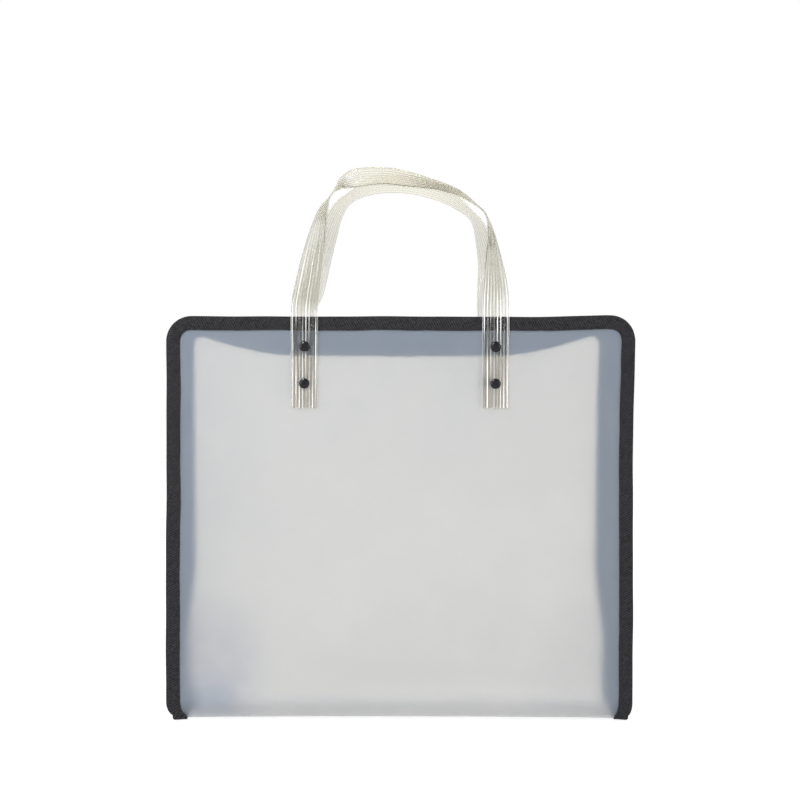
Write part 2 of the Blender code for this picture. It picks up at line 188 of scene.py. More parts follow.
def add_loft(bm, rings, along=None, looped=False):
    """Adds a skin over rings of points, an array (rings, points, 3), with its ends capped. Its UV
    map holds metres: u is the way along, v the way round."""
    count, around = rings.shape[:2]
    uv = bm.loops.layers.uv.verify()
    steps = np.linalg.norm(rings[count // 2] - np.roll(rings[count // 2], 1, axis=0), axis=1)
    v = np.concatenate([[0], np.cumsum(steps[1:]), [steps.sum()]])
    if along is None:
        middles = rings.mean(axis=1)
        along = np.concatenate([[0], np.cumsum(np.linalg.norm(np.diff(middles, axis=0), axis=1))])
    verts = [[bm.verts.new(point) for point in ring] for ring in rings]
    for i in range(count if looped else count - 1):
        n = (i + 1) % count
        u0, u1 = along[i], along[i] + abs(along[n] - along[i]) if n else along[i] + along[1]
        for j in range(around):
            k = (j + 1) % around
            face = bm.faces.new((verts[i][j], verts[i][k], verts[n][k], verts[n][j]))
            places = ((u0, v[j]), (u0, v[j + 1]), (u1, v[j + 1]), (u1, v[j]))
            for loop, place in zip(face.loops, places):
                loop[uv].uv = place
    if not looped:
        for ring, u in ((verts[0], along[0]), (verts[-1], along[-1])):
            cap = bm.faces.new(ring)
            for loop, place in zip(cap.loops, v):
                loop[uv].uv = (u, place)


def make_loft(name, rings, material, angle=40, along=None):
    bm = bmesh.new()
    add_loft(bm, np.asarray(rings), along)
    return finish_mesh(name, bm, material, angle)


def half_to_world(half, x, y, z):
    """World points from a half's own frame: y is inwards from its panel, z is up the panel."""
    x, y, z = np.broadcast_arrays(np.asarray(x, float), np.asarray(y, float), np.asarray(z, float))
    push = CORNER_PUSH * np.exp(-((x - HALF_WIDTH) ** 2 + (z - CASE_TOP) ** 2) / CORNER_REACH ** 2)
    x, z = x + push, z + push * CORNER_RISE
    sign = -1 if half == "front" else 1
    return np.stack([x, sign * (FOLD_Y - y * COS - z * SIN), FOLD_Z - y * SIN + z * COS], axis=-1)


def half_axes(half):
    """Unit vectors of a half: across, up the panel, and out of the case."""
    sign = -1 if half == "front" else 1
    return np.array([1.0, 0, 0]), np.array([0, -sign * SIN, COS]), np.array([0, sign * COS, SIN])


def to_middle(z):
    return (FOLD_Y - z * SIN) / COS


def fold_pull(rise, side):
    """How far an end of the case draws in, rounded, at a height above the fold."""
    left = FOLD_DRAW * np.clip(1 - rise / FOLD_PULL_HEIGHT, 0, 1)
    return (FOLD_PULL - side * FOLD_PULL_SKEW) * (1 - np.sqrt(1 - left * left))


def base_bow(x, rise=0.0):
    return BASE_BOW * (1 - (x / HALF_WIDTH) ** 2) * (1 - smooth_step(rise / 0.03))


def fold_path(half, base_rows=8, bend_rows=7):
    """Rows (y, z, normal y, normal z) from the middle of the base round the fold."""
    sign = -1 if half == "front" else 1
    reach = FOLD_RADIUS / math.tan((math.pi / 2 - LEAN) / 2)
    bend = FOLD_Y - reach
    rows = [(sign * bend * i / base_rows, FOLD_Z, 0.0, -1.0) for i in range(base_rows)]
    for i in range(bend_rows + 1):
        angle = (math.pi / 2 + LEAN) * i / bend_rows
        out, up = math.sin(angle), -math.cos(angle)
        rows.append((sign * (bend + FOLD_RADIUS * out), FOLD_Z + FOLD_RADIUS * (1 + up),
                     sign * out, up))
    return rows, reach


def strap_section():
    """The strap's outline: (across, out). The outer face is ribbed and the inner one is flat."""
    half = STRAP_WIDTH / 2
    spread = np.linspace(-1, 1, RIB_COUNT * RIB_STEPS + 1)
    across_rib = ((spread + 1) * RIB_COUNT / 2) % 1 * 2 - 1
    ribs = STRAP_CORE + RIB_HEIGHT * np.sqrt(1 - across_rib ** 2)
    outer = [(a, b) for a, b in zip(spread * (half - STRAP_ROUND), ribs)]
    inner = [(a, -STRAP_INNER) for a in np.linspace(1, -1, 9) * (half - STRAP_ROUND)]
    return outer + [(half, 0.0002), (half, -0.0004)] + inner + [(-half, -0.0004), (-half, 0.0002)]


# Materials

def new_material(name):
    made = bpy.data.materials.new(name)
    made.use_nodes = True
    tree = made.node_tree
    return made, tree, tree.nodes["Principled BSDF"]


def add_node(tree, kind, inputs=None, **settings):
    node = tree.nodes.new(kind)
    for key, value in settings.items():
        setattr(node, key, value)
    for key, value in (inputs or {}).items():
        if isinstance(value, bpy.types.NodeSocket):
            tree.links.new(value, node.inputs[key])
        else:
            node.inputs[key].default_value = value
    return node


def add_math(tree, operation, a, b=None):
    inputs = {0: a} if b is None else {0: a, 1: b}
    return add_node(tree, "ShaderNodeMath", inputs, operation=operation).outputs[0]


def multiply(tree, value, factor):
    return add_math(tree, "MULTIPLY", value, factor)


def add(tree, a, b):
    return add_math(tree, "ADD", a, b)


def subtract(tree, a, b):
    return add_math(tree, "SUBTRACT", a, b)


def map_range(tree, value, start, end, low=0.0, high=1.0):
    """Goes from low to high while the value goes from start to end."""
    return add_node(tree, "ShaderNodeMapRange", {"Value": value, "From Min": start, "From Max": end,
                                                 "To Min": low, "To Max": high}).outputs[0]


def add_ramp(tree, factor, stops):
    ramp = add_node(tree, "ShaderNodeValToRGB", {"Fac": factor})
    elements = ramp.color_ramp.elements
    for element, (position, color) in zip(elements, (stops[0], stops[-1])):
        element.position = position
        element.color = (*color, 1)
    for position, color in stops[1:-1]:
        elements.new(position).color = (*color, 1)
    return ramp.outputs["Color"]


def mix_color(tree, factor, a, b):
    mix = tree.nodes.new("ShaderNodeMix")
    mix.data_type = "RGBA"
    for socket, value in zip((mix.inputs[0], mix.inputs[6], mix.inputs[7]), (factor, a, b)):
        if isinstance(value, bpy.types.NodeSocket):
            tree.links.new(value, socket)
        else:
            socket.default_value = value
    return mix.outputs[2]


def add_noise(tree, vector, scale, detail=2.0, roughness=0.5):
    noise = add_node(tree, "ShaderNodeTexNoise",
                     {"Vector": vector, "Scale": scale, "Detail": detail, "Roughness": roughness})
    return noise.outputs["Fac"]


def add_bump(tree, shader, height, distance, strength=1.0):
    bump = add_node(tree, "ShaderNodeBump",
                    {"Height": height, "Distance": distance, "Strength": strength})
    tree.links.new(bump.outputs["Normal"], shader.inputs["Normal"])


def object_coordinates(tree):
    return add_node(tree, "ShaderNodeTexCoord").outputs["Object"]


def uv_coordinates(tree):
    split = add_node(tree, "ShaderNodeSeparateXYZ",
                     {0: add_node(tree, "ShaderNodeTexCoord").outputs["UV"]})
    return split.outputs["X"], split.outputs["Y"]


def woven_material(name, dark, light, pitch_along, pitch_across, rib_share, depth, slant=0.0,
                   roughness=0.85):
    """Threads crossing over and under each other, as slanted ribs where rib_share is high."""
    made, tree, shader = new_material(name)
    u, v = uv_coordinates(tree)
    slanted = add(tree, u, multiply(tree, v, slant))
    wave_u = add_math(tree, "SINE", multiply(tree, slanted, 2 * math.pi / pitch_along))
    wave_v = add_math(tree, "SINE", multiply(tree, v, 2 * math.pi / pitch_across))
    crossed = multiply(tree, wave_u, wave_v)
    threads = add(tree, multiply(tree, wave_u, rib_share), multiply(tree, crossed, 1 - rib_share))
    height = add(tree, multiply(tree, threads, 0.5), 0.5)
    place = object_coordinates(tree)
    fuzz = add_noise(tree, place, 1400.0, 3.0, 0.6)
    slubs = add_noise(tree, place, 480.0, 2.0, 0.7)
    toned = add(tree, multiply(tree, fuzz, 0.25), multiply(tree, slubs, 0.40))
    shade = add(tree, multiply(tree, height, 0.35), toned)
    tree.links.new(add_ramp(tree, shade, ((0.36, dark), (0.78, light))), shader.inputs["Base Color"])
    rough = add(tree, multiply(tree, fuzz, 0.15), roughness - 0.08)
    tree.links.new(rough, shader.inputs["Roughness"])
    shader.inputs["Sheen Weight"].default_value = 0.03
    shader.inputs["Sheen Roughness"].default_value = 0.4
    shader.inputs["Specular IOR Level"].default_value = 0.12
    add_bump(tree, shader, add(tree, height, multiply(tree, fuzz, 0.5)), depth)
    return made


def add_cloud(tree, across, along, middle, reach):
    """A soft round patch on a surface, 1 at its middle and 0 outside its reach (across, along)."""
    squares = []
    for value, centre, length in zip((across, along), middle, reach):
        offset = add_math(tree, "DIVIDE", subtract(tree, value, centre), length)
        squares.append(multiply(tree, offset, offset))
    return add_math(tree, "MAXIMUM", subtract(tree, 1.0, add(tree, *squares)), 0.0)


def frosted_material():
    """Translucent sheet: a bluish haze over a light that comes through a little warm. Painted shade
    darkens it near its left edge and bottom corners, with a dark smudge low on the left, and painted light
    makes it lighter and less hazy where it lies in the base."""
    made, tree, shader = new_material("frosted_sheet")
    place = object_coordinates(tree)
    grain = add_noise(tree, place, 2600.0, 3.0, 0.65)
    drift = add_noise(tree, place, 14.0, 4.0, 0.6)
    through = add_ramp(tree, drift, ((0.3, (0.935, 0.884, 0.792)), (0.7, (0.970, 0.915, 0.817))))
    u, v = uv_coordinates(tree)
    girth = 2 * (2 * HALF_WIDTH + SHEET)
    from_left = add_math(tree, "MINIMUM", v, subtract(tree, girth, v))
    from_right = subtract(tree, 2 * HALF_WIDTH, from_left)
    # Painted shade: the light through the sheet is darkened near its left edge and, in soft uneven
    # patches, near its bottom corners, more on the left.
    edge_painted_shade = add_cloud(tree, from_left, u, (0.0, 0.18), (0.13, 0.30))
    left_corner_shade = add_cloud(tree, from_left, u, (0.036, 0.074), (0.066, 0.078))
    right_corner_shade = add_cloud(tree, from_right, u, (0.035, 0.075), (0.060, 0.075))
    uneven = add(tree, multiply(tree, add_noise(tree, place, 30.0, 3.0, 0.6), 1.4), -0.25)
    corner_shades = add(tree, left_corner_shade, multiply(tree, right_corner_shade, 0.35))
    painted_light_and_edge_mask = add(tree, multiply(tree, corner_shades, uneven), multiply(tree, edge_painted_shade, 0.16))
    corner_shaded_color = mix_color(tree, painted_light_and_edge_mask, through, (0.70, 0.655, 0.645, 1.0))
    # Painted shade: a dark bluish smudge low on the left, near the fold, standing for shade seen through
    # the sheet.
    smudge_and_painted_shade = multiply(tree, add_cloud(tree, from_left, u, (0.044, 0.044), (0.034, 0.018)), 0.75)
    with_painted_smudge = mix_color(tree, smudge_and_painted_shade, corner_shaded_color, (0.55, 0.57, 0.60, 1.0))
    # Painted light: the sheet is lighter where it lies in the base, which lifts the shade under the case.
    in_base = map_range(tree, u, FOLD_Y + 0.002, FOLD_Y - 0.003)
    color = mix_color(tree, in_base, with_painted_smudge, (0.97, 0.955, 0.945, 1.0))
    tree.links.new(color, shader.inputs["Base Color"])
    shader.inputs["Transmission Weight"].default_value = 1.0
    shader.inputs["IOR"].default_value = 1.35
    tree.links.new(add(tree, multiply(tree, grain, 0.08), 0.42), shader.inputs["Roughness"])
    add_bump(tree, shader, grain, 0.00002)
    haze_color = add_ramp(tree, add_noise(tree, place, 28.0, 4.0, 0.6),
                          ((0.3, (0.440, 0.535, 0.675)), (0.7, (0.480, 0.565, 0.692))))
    haze = add_node(tree, "ShaderNodeBsdfDiffuse", {"Color": haze_color})
    # Less haze in the base: part of the same painted light that lifts the shade there.
    share = map_range(tree, u, FOLD_Y - 0.004, FOLD_Y + 0.018, 0.10, 0.20)
    mix = add_node(tree, "ShaderNodeMixShader", {"Fac": share, 1: shader.outputs[0], 2: haze.outputs[0]})
    tree.links.new(mix.outputs[0], tree.nodes["Material Output"].inputs["Surface"])
    return made


def strap_material():
    """Clear soft plastic with a cream tint. Painted shade darkens the grooves between its ribs, painted
    highlights run white along the crests of some ribs, mostly on the legs, and it is greyer from just
    above the binding to below the arch."""
    made, tree, shader = new_material("clear_strap")
    u, v = uv_coordinates(tree)
    section = np.array(strap_section())[:RIB_COUNT * RIB_STEPS + 1]
    face_width = float(np.linalg.norm(np.diff(section, axis=0), axis=1).sum())
    rib = multiply(tree, v, RIB_COUNT / face_width)
    wave = add_math(tree, "COSINE", multiply(tree, rib, 2 * math.pi))
    on_ribs = add_math(tree, "LESS_THAN", v, face_width)
    from_sides = multiply(tree, rib, subtract(tree, RIB_COUNT, rib))
    inside = add_math(tree, "GREATER_THAN", from_sides, 0.3 * RIB_COUNT)
    # Painted shade: dark lines along the grooves between the ribs.
    hollow = add_math(tree, "POWER", add_math(tree, "MAXIMUM", wave, 0.0), 2.0)
    groove = multiply(tree, hollow, inside)
    crest = add_math(tree, "POWER", add_math(tree, "MAXIMUM", multiply(tree, wave, -1.0), 0.0), 3.0)
    stretched = add_node(tree, "ShaderNodeCombineXYZ",
                         {0: multiply(tree, u, 12.0), 1: multiply(tree, rib, 1.9)})
    # Painted highlights: white lines along the crests of some ribs, picked by noise, mostly on the legs.
    highlighted_ribs = map_range(tree, add_noise(tree, stretched.outputs[0], 1.0, 2.0, 0.5), 0.44, 0.62)
    from_foot = add_math(tree, "MINIMUM", u, subtract(tree, STRAP_LENGTH, u))
    on_leg = map_range(tree, from_foot, 0.20, 0.10, 0.12, 1.0)
    painted_highlight = multiply(tree, multiply(tree, crest, highlighted_ribs), multiply(tree, on_ribs, on_leg))
    # How strong the painted groove shade is: strong on the legs, faint on the arch.
    depth = add(tree, multiply(tree, on_leg, 0.65), 0.07)
    painted_groove_shade = multiply(tree, multiply(tree, groove, on_ribs), depth)
    fine = add_node(tree, "ShaderNodeCombineXYZ",
                    {0: multiply(tree, u, 9.0), 1: multiply(tree, v, 1500.0)})
    marks = add_noise(tree, fine.outputs[0], 1.0, 3.0, 0.6)
    arch_tint = add_ramp(tree, marks, ((0.3, (0.970, 0.950, 0.865)), (0.7, (1.0, 0.985, 0.905))))
    leg_tint = add_ramp(tree, marks, ((0.3, (0.965, 0.965, 0.965)), (0.7, (1.0, 1.0, 1.0))))
    tint = mix_color(tree, on_leg, arch_tint, leg_tint)
    # Greyer from just above the binding to below the arch.
    past_binding = map_range(tree, from_foot, 0.088, 0.105)
    below_arch = map_range(tree, from_foot, 0.25, 0.17)
    above_binding_stretch = multiply(tree, past_binding, below_arch)
    toned = mix_color(tree, above_binding_stretch, tint, (0.785, 0.785, 0.745, 1.0))
    # Painted shade laid into the grooves.
    grooved = mix_color(tree, painted_groove_shade, toned, (0.50, 0.50, 0.48, 1.0))
    # Painted highlight colour on the crests.
    color = mix_color(tree, painted_highlight, grooved, (0.97, 0.97, 0.96, 1.0))
    tree.links.new(color, shader.inputs["Base Color"])
    girth = 2 * STRAP_WIDTH + (face_width - STRAP_WIDTH)
    from_edge = add_math(tree, "MINIMUM", subtract(tree, v, face_width), subtract(tree, girth, v))
    cut_edge = multiply(tree, add_math(tree, "LESS_THAN", from_edge, 0.0008), subtract(tree, 1.0, on_ribs))
    # The painted highlights, and the strap's cut edges by half, take the clearness off so their colour
    # shows.
    painted_light_and_edge_mask = add_math(tree, "MAXIMUM", painted_highlight, multiply(tree, cut_edge, 0.5))
    clear = subtract(tree, 0.99, multiply(tree, painted_light_and_edge_mask, 0.9))
    tree.links.new(clear, shader.inputs["Transmission Weight"])
    shader.inputs["IOR"].default_value = 1.27
    tree.links.new(add(tree, multiply(tree, marks, 0.12), 0.06), shader.inputs["Roughness"])
    add_bump(tree, shader, marks, 0.00003)
    cream = add_node(tree, "ShaderNodeVolumeAbsorption",
                     {"Color": (0.80, 0.77, 0.66, 1.0), "Density": 200.0})
    tree.links.new(cream.outputs[0], tree.nodes["Material Output"].inputs["Volume"])
    return made


def gloss_material(name, color, roughness, metallic, wear=0.08, gloss=0.5):
    made, tree, shader = new_material(name)
    place = object_coordinates(tree)
    smudge_and_painted_shade = add_noise(tree, place, 400.0, 4.0, 0.6)
    shade = add_ramp(tree, smudge_and_painted_shade, ((0.3, tuple(c * 0.75 for c in color)),
                                    (0.75, tuple(c * 1.35 for c in color))))
    tree.links.new(shade, shader.inputs["Base Color"])
    shader.inputs["Metallic"].default_value = metallic
    shader.inputs["Specular IOR Level"].default_value = gloss
    tree.links.new(add(tree, multiply(tree, smudge_and_painted_shade, wear), roughness), shader.inputs["Roughness"])
    add_bump(tree, shader, add_noise(tree, place, 900.0, 2.0), 0.00001)
    return made


MATERIALS = {
    "sheet": frosted_material(),
    "binding": woven_material("woven_binding", (0.0015, 0.0015, 0.002), (0.052, 0.052, 0.056),
                              0.0024, 0.0017, 0.55, 0.00045, 0.55),
    "thread": woven_material("binding_thread", (0.008, 0.008, 0.009), (0.04, 0.04, 0.043),
                             0.0006, 0.0006, 0.5, 0.00005),
    "cloth": woven_material("gusset_cloth", (0.012, 0.014, 0.020), (0.040, 0.045, 0.060),
                            0.0008, 0.0008, 0.0, 0.0001),
    "tape": woven_material("zip_tape", (0.014, 0.014, 0.017), (0.045, 0.045, 0.05),
                           0.0007, 0.0011, 0.3, 0.0001),
    "teeth": gloss_material("zip_teeth", (0.030, 0.030, 0.033), 0.38, 0.0),
    "slider": gloss_material("zip_slider", (0.030, 0.030, 0.033), 0.25, 0.6),
    "strap": strap_material(),
    "rivet": gloss_material("rivet_black", (0.004, 0.004, 0.005), 0.05, 0.0, 0.04, 0.28),
}


# The frosted sheet, in two pieces that meet in the middle of the base

def make_sheet(half):
    rows, reach = fold_path(half)
    out = half_axes(half)[2]
    spread = np.linspace(-1, 1, 57)
    edge = CASE_TOP - SHEET_EDGE
    radius = CORNER_RADIUS - SHEET_EDGE
    straight = np.linspace(reach, edge - radius, 70)[1:]
    corner = edge - radius + radius * np.sin(np.linspace(0, math.pi / 2, 14))[1:]
    rings = []
    for y, z, ny, nz in rows:
        x = spread * (HALF_WIDTH - SHEET_EDGE - fold_pull(0, spread))
        rings.append((np.stack([x, np.full_like(x, y), z + base_bow(x)], -1), np.array([0, ny, nz])))
    for z in np.concatenate([straight, corner]):
        half_width = HALF_WIDTH - SHEET_EDGE - fold_pull(z - reach, np.sign(spread))
        if z > edge - radius:
            drop = z - (edge - radius)
            half_width -= radius - math.sqrt(max(0.0, radius * radius - drop * drop))
        x = spread * half_width
        rings.append((half_to_world(half, x, -sheet_bulge(x, z), z + base_bow(x, z)), out))
    skin = [np.concatenate([middle + normal * SHEET / 2, (middle - normal * SHEET / 2)[::-1]])
            for middle, normal in rings]
    sheet = make_loft("frosted_sheet_" + half, skin, MATERIALS["sheet"], 60)
    replaced = [half + "_panel"] + (["base_panel"] if half == "front" else [])
    return sheet, replaced


def sheet_bulge(x, z):
    """How far the sheet stands out of its flat: gentle waves, none at its edges or under a strap."""
    from_side = smooth_step((HALF_WIDTH - 0.020 - np.abs(x)) / 0.07)
    from_top = smooth_step((CASE_TOP - 0.09 - z) / 0.12)
    from_fold = smooth_step((z - 0.004) / 0.05)
    return from_side * from_top * from_fold * (0.0005 + 0.0006 * ripple(x * 17.0, z * 15.0, 0.6))


# The binding

def side_route(half, side):
    """Stations along the edge of a half, from the middle of the base, up a side and over the top
    to its middle: (point on the edge, direction into the sheet, normal)."""
    rows, reach = fold_path(half)
    across, up, out = half_axes(half)
    across = across * side
    stations = []
    for y, z, ny, nz in rows:
        point = np.array([side * (HALF_WIDTH - fold_pull(0, side)), y, z])
        stations.append((point, -across, np.array([0, ny, nz])))
    centre_x = HALF_WIDTH - CORNER_RADIUS
    centre_z = CASE_TOP - CORNER_RADIUS
    low = np.linspace(reach, reach + FOLD_PULL_HEIGHT, 12)[1:]
    for z in np.concatenate([low, np.linspace(low[-1], centre_z, 84)[1:]]):
        x = side * (HALF_WIDTH - fold_pull(z - reach, side))
        stations.append((half_to_world(half, x, 0, z), -across, out))
    for angle in np.linspace(0, math.pi / 2, 13)[1:]:
        inwards = -(across * math.cos(angle) + up * math.sin(angle))
        middle = half_to_world(half, side * centre_x, 0, centre_z)
        stations.append((middle - inwards * CORNER_RADIUS, inwards, out))
    for x in np.linspace(centre_x, 0, 52)[1:]:
        stations.append((half_to_world(half, side * x, 0, CASE_TOP), -up, out))
    return stations


def edge_route(half):
    """Stations right round a half, and their way along."""
    stations = side_route(half, 1) + side_route(half, -1)[-2::-1]
    points = np.array([point for point, inwards, normal in stations])
    along = np.concatenate([[0], np.cumsum(np.linalg.norm(np.diff(points, axis=0), axis=1))])
    for i, way in enumerate(along):
        point, inwards, normal = stations[i]
        stations[i] = (point + inwards * 0.0004 * ripple(way * 26.0, 0.0, 0.9), inwards, normal)
    return stations, along


def binding_half_thickness(inset):
    """The folded tape is thickest near its fold, where the gusset is sewn in, and thin at its lip."""
    swell = FLANGE - 0.00010 - 0.00055 * smooth_step((inset - 0.0025) / 0.009)
    return swell * np.sqrt(np.clip(1 - (1 - np.clip(inset / 0.0022, 0, 1)) ** 2.4, 0, 1))


def make_binding(half):
    stations, along = edge_route(half)
    insets = np.concatenate([[0.0, 0.00012, 0.0004, 0.0009, 0.0016, 0.0024],
                             np.linspace(0.0036, BINDING_WIDTH, 9)])
    inner_insets = np.array([BINDING_WIDTH, 0.0100, 0.0060, 0.0026, 0.0014])
    rings = []
    for (point, inwards, normal), way in zip(stations, along):
        side = 1 if point[0] > 0 else -1
        from_fold = (min(way, along[-1] - way) - FOLD_Y) / BUNCH_LENGTH
        bunch = BUNCH[side] * math.exp(-from_fold * from_fold)
        wave = 1 + 0.020 * ripple(way * 55.0, 0.0, 1.0 if half == "front" else 3.0)
        puff = 1 + 0.030 * ripple(way * 80.0, 0.0, 2.0)
        outer = [(inset * wave, binding_half_thickness(inset) * puff) for inset in insets]
        inner = [(inset * wave, max(binding_half_thickness(inset) * puff - WALL, SHEET / 2 + 0.0001))
                 for inset in inner_insets]
        section = [(i, -o) for i, o in outer[::-1]] + outer[1:]
        section += inner + [(i, -o) for i, o in inner[::-1]]
        rings.append([point + inwards * i + normal * (o + (bunch if o > 0 else 0))
                      for i, o in section])
    binding = make_loft("binding_" + half, rings, MATERIALS["binding"], 50, along)
    replaced = [half + "_binding"]
    if half == "front":
        replaced += ["base_binding_left", "base_binding_right"]
    return binding, replaced


def at_way(stations, along, way):
    """A station's three values and the direction along, at a way along the edge."""
    i = int(np.clip(np.searchsorted(along, way) - 1, 0, len(along) - 2))
    share = (way - along[i]) / (along[i + 1] - along[i])
    point, inwards, normal = (a * (1 - share) + b * share for a, b in zip(stations[i], stations[i + 1]))
    forward = stations[i + 1][0] - stations[i][0]
    return (point, inwards / np.linalg.norm(inwards), normal / np.linalg.norm(normal),
            forward / np.linalg.norm(forward))


def make_stitches(half):
    """Two rows of thread, one on each face of the binding, as short rounded stitches."""
    stations, along = edge_route(half)
    bm = bmesh.new()
    inset = BINDING_WIDTH - STITCH_INSET
    height = float(binding_half_thickness(inset))
    turns = np.linspace(0, 2 * math.pi, 7)[:-1]
    count = int(along[-1] / STITCH_PITCH)
    for k in range(count):
        middle_way = (k + 0.5) * along[-1] / count
        point, inwards, normal, forward = at_way(stations, along, middle_way)
        sway = 0.00012 * ripple(np.float64(middle_way * 300.0), 0.0, 1.0)
        for face in (1, -1):
            base = point + inwards * (inset + sway) + normal * face * (height + 0.00004)
            rings = []
            for share, radius in ((-1, 0.00008), (-0.75, 0.0002), (0, 0.00024), (0.75, 0.0002),
                                  (1, 0.00008)):
                sink = -normal * face * 0.00018 * share * share
                middle = base + forward * share * STITCH_PITCH * 0.41 + sink
                rings.append([middle + radius * (inwards * math.cos(t) + normal * math.sin(t))
                              for t in turns])
            add_loft(bm, np.array(rings))
    return finish_mesh("binding_stitches_" + half, bm, MATERIALS["thread"], 60)


# The gusset and the zip

def gusset_outline(count_top=60, count_corner=12, count_side=40):
    """Stations along a whole gusset, foot to foot: (kind, share along it, side)."""
    right = [("top", i / count_top) for i in range(1, count_top)]
    right += [("corner", i / count_corner) for i in range(count_corner)]
    right += [("side", i / count_side) for i in range(count_side + 1)]
    whole = [(kind, share, -1) for kind, share in right[::-1]]
    return whole + [("top", 0.0, 1)] + [(kind, share, 1) for kind, share in right]


def gusset_local(station, share, foot=CLOTH_FOOT):
    """A half's own (x, y, z) of a gusset point, share of the way from the binding to the zip. The
    tape's lip under the teeth is past a share of 1."""
    kind, way, side = station
    lip = max(0.0, share - 1) * TAPE_LIP / LIP_SPAN
    share = min(share, 1.0)
    inwards = math.sin(math.pi / 2 * share)
    side_inset = GUSSET_START + (GUSSET_SIDE - GUSSET_START) * inwards
    top_inset = GUSSET_START + (GUSSET_CORNER - GUSSET_START) * inwards
    radius = (CORNER_RADIUS - GUSSET_START) * (1 - share) + ZIP_CORNER * share
    centre_x = HALF_WIDTH - side_inset - radius
    centre_z = CASE_TOP - top_inset - radius
    if kind == "top":
        x, z = centre_x * way, centre_z + radius
        left = min(1.0, max(0.0, (SAG_END - x) / (SAG_END - SAG_HALF_WIDTH)))
        z -= GUSSET_SAG * math.sin(math.pi / 2 * left) * inwards
    elif kind == "corner":
        angle = math.pi / 2 * (1 - way)
        x, z = centre_x + radius * math.cos(angle), centre_z + radius * math.sin(angle)
    else:
        x, z = centre_x + radius, centre_z + (foot - centre_z) * way
        below_zip = (GUSSET_FOOT - z) / (GUSSET_FOOT - CLOTH_FOOT)
        x += FOOT_TAPER * float(smooth_step(below_zip)) * inwards
    if kind != "top":
        x += GUSSET_FLARE * float(smooth_step((FLARE_TOP - z) / FLARE_HEIGHT)) * inwards
    start = FLANGE - 0.0002
    end = to_middle(z) - TEETH_MIDDLE - TEETH_WIDTH - GAP
    y = start + (end - start) * (1 - math.cos(math.pi / 2 * share))
    return np.array([side * x + ZIP_SKEW * inwards, y + lip, z])


def gusset_surface(half, stations, shares, sink=0.0, wrinkle=0.0):
    """Points (stations, shares, 3) of a half's gusset, and their normals."""
    points = np.array([[gusset_local(station, share) for share in shares] for station in stations])
    world = half_to_world(half, points[..., 0], points[..., 1], points[..., 2])
    along = np.gradient(world, axis=0)
    across = np.gradient(world, axis=1)
    normal = np.cross(along, across)
    normal /= np.linalg.norm(normal, axis=-1, keepdims=True)
    inside = np.array([0, 0, 0.15]) - world[len(stations) // 2, len(shares) // 2]
    if np.dot(normal[len(stations) // 2, len(shares) // 2], inside) < 0:
        normal = -normal
    ways = np.concatenate([[0], np.cumsum(np.linalg.norm(np.diff(world[:, 0], axis=0), axis=1))])
    loose = np.sin(math.pi * np.clip(np.array(shares) / shares[-1], 0, 1))
    move = sink + wrinkle * loose * ripple(ways[:, None] * 95.0, np.array(shares) * 5.0,
                                           0.4 if half == "front" else 2.2)
    return world + normal * move[..., None], normal, ways


def make_cloth(name, half, shares, thickness, material, sink=0.0, wrinkle=0.0):
    """A strip along the gusset, its area, its greatest width and its length."""
    stations = gusset_outline()
    points, normal, ways = gusset_surface(half, stations, shares, sink, wrinkle)
    outside = points + normal * thickness / 2
    inside = points - normal * thickness / 2
    cloth = make_loft(name, np.concatenate([outside, inside[:, ::-1]], 1), material, 60, ways)
    corner = points[:-1, :-1]
    patches = np.linalg.norm(np.cross(points[1:, :-1] - corner, points[:-1, 1:] - corner), axis=-1)
    widths = np.linalg.norm(np.diff(points, axis=1), axis=-1).sum(axis=1)
    return cloth, float(patches.sum()), float(widths.max()), float(ways[-1])


def make_gusset(half):
    shares = np.linspace(0, CLOTH_END, 15)
    cloth, area, width, length = make_cloth("gusset_cloth_" + half, half, shares, CLOTH,
                                            MATERIALS["cloth"], wrinkle=0.0005)
    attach(cloth, half + "_half")
    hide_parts(half + "_gusset")
    shares = np.concatenate([np.linspace(TAPE_START, 1.0, 7), LIP_SHARES])
    tape = make_cloth("zip_tape_" + half, half, shares, TAPE, MATERIALS["tape"], TAPE_SINK)[0]
    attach(tape, half + "_half")
    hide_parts(half + "_zip_tape")


def zip_route(half):
    """Points along the middle line of a row of teeth, and their way along."""
    stations = gusset_outline(120, 24, 60)
    local = np.array([gusset_local(station, 1.0, GUSSET_FOOT) for station in stations])
    local[:, 1] += GAP + TEETH_WIDTH / 2
    points = half_to_world(half, local[:, 0], local[:, 1], local[:, 2])
    ways = np.concatenate([[0], np.cumsum(np.linalg.norm(np.diff(points, axis=0), axis=1))])
    return points, ways


def make_teeth(half):
    """A row of coil teeth, each a rounded bead that reaches to the middle between its neighbours."""
    points, ways = zip_route(half)
    sign = -1 if half == "front" else 1
    bm = bmesh.new()
    margin = 0.004
    usable = ways[-1] - 2 * margin
    count = int(usable / TOOTH_PITCH)
    offset = 0.25 if half == "front" else 0.75
    turns = np.linspace(0, 2 * math.pi, 9)[:-1] + math.pi / 8
    to_zip = np.array([0, -sign, 0.0])
    for k in range(count):
        way = margin + (k + offset) * usable / count
        middle = np.array([np.interp(way, ways, points[:, a]) for a in range(3)])
        ahead = np.array([np.interp(way + 0.0005, ways, points[:, a]) for a in range(3)]) - middle
        ahead /= np.linalg.norm(ahead)
        rise = np.cross(ahead, to_zip)
        rings = []
        for reach, size in TOOTH_PROFILE:
            centre = middle + to_zip * reach
            rings.append([centre + size * (ahead * math.cos(t) * 0.00050 + rise * math.sin(t) * 0.00080)
                          for t in turns])
        add_loft(bm, np.array(rings))
    teeth = finish_mesh("zip_teeth_" + half, bm, MATERIALS["teeth"], 50)
    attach(teeth, half + "_half")
    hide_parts(half + "_zip_teeth")


